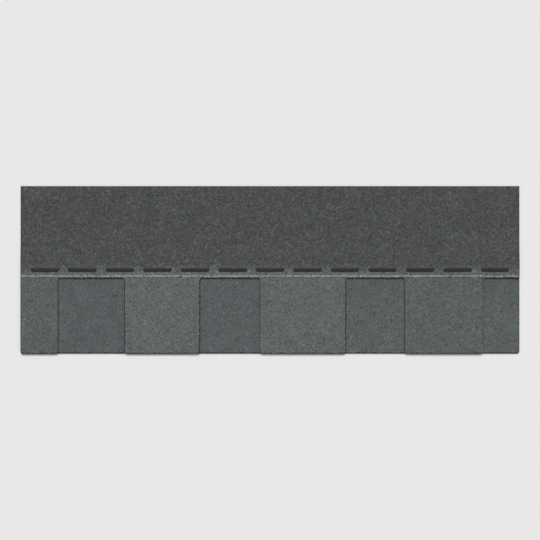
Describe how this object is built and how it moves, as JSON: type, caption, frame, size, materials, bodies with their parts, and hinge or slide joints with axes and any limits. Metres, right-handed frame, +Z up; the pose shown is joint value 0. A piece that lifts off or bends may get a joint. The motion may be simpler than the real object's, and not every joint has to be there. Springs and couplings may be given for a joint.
{
  "type": "laminated asphalt shingle",
  "caption": "Laminated asphalt roof shingle: toothed granule-faced sheet bonded on a plain backing sheet, with a row of seal dashes.",
  "frame": {"origin": "at floor level, under the middle of the shingle's outline", "axes": "+X along the roof course, +Y up the roof slope from the toothed butt edge, +Z up out of the granule side"},
  "size_m": [1.038, 0.349, 0.0058],
  "materials": {
    "face_asphalt": "matte",
    "backing_asphalt": "matte",
    "seal_bitumen": "satin"
  },
  "bodies": {
    "root": {"face_sheet": "face_asphalt", "backing_sheet": "backing_asphalt", "seal_strip": "seal_bitumen"}
  },
  "joints": []
}
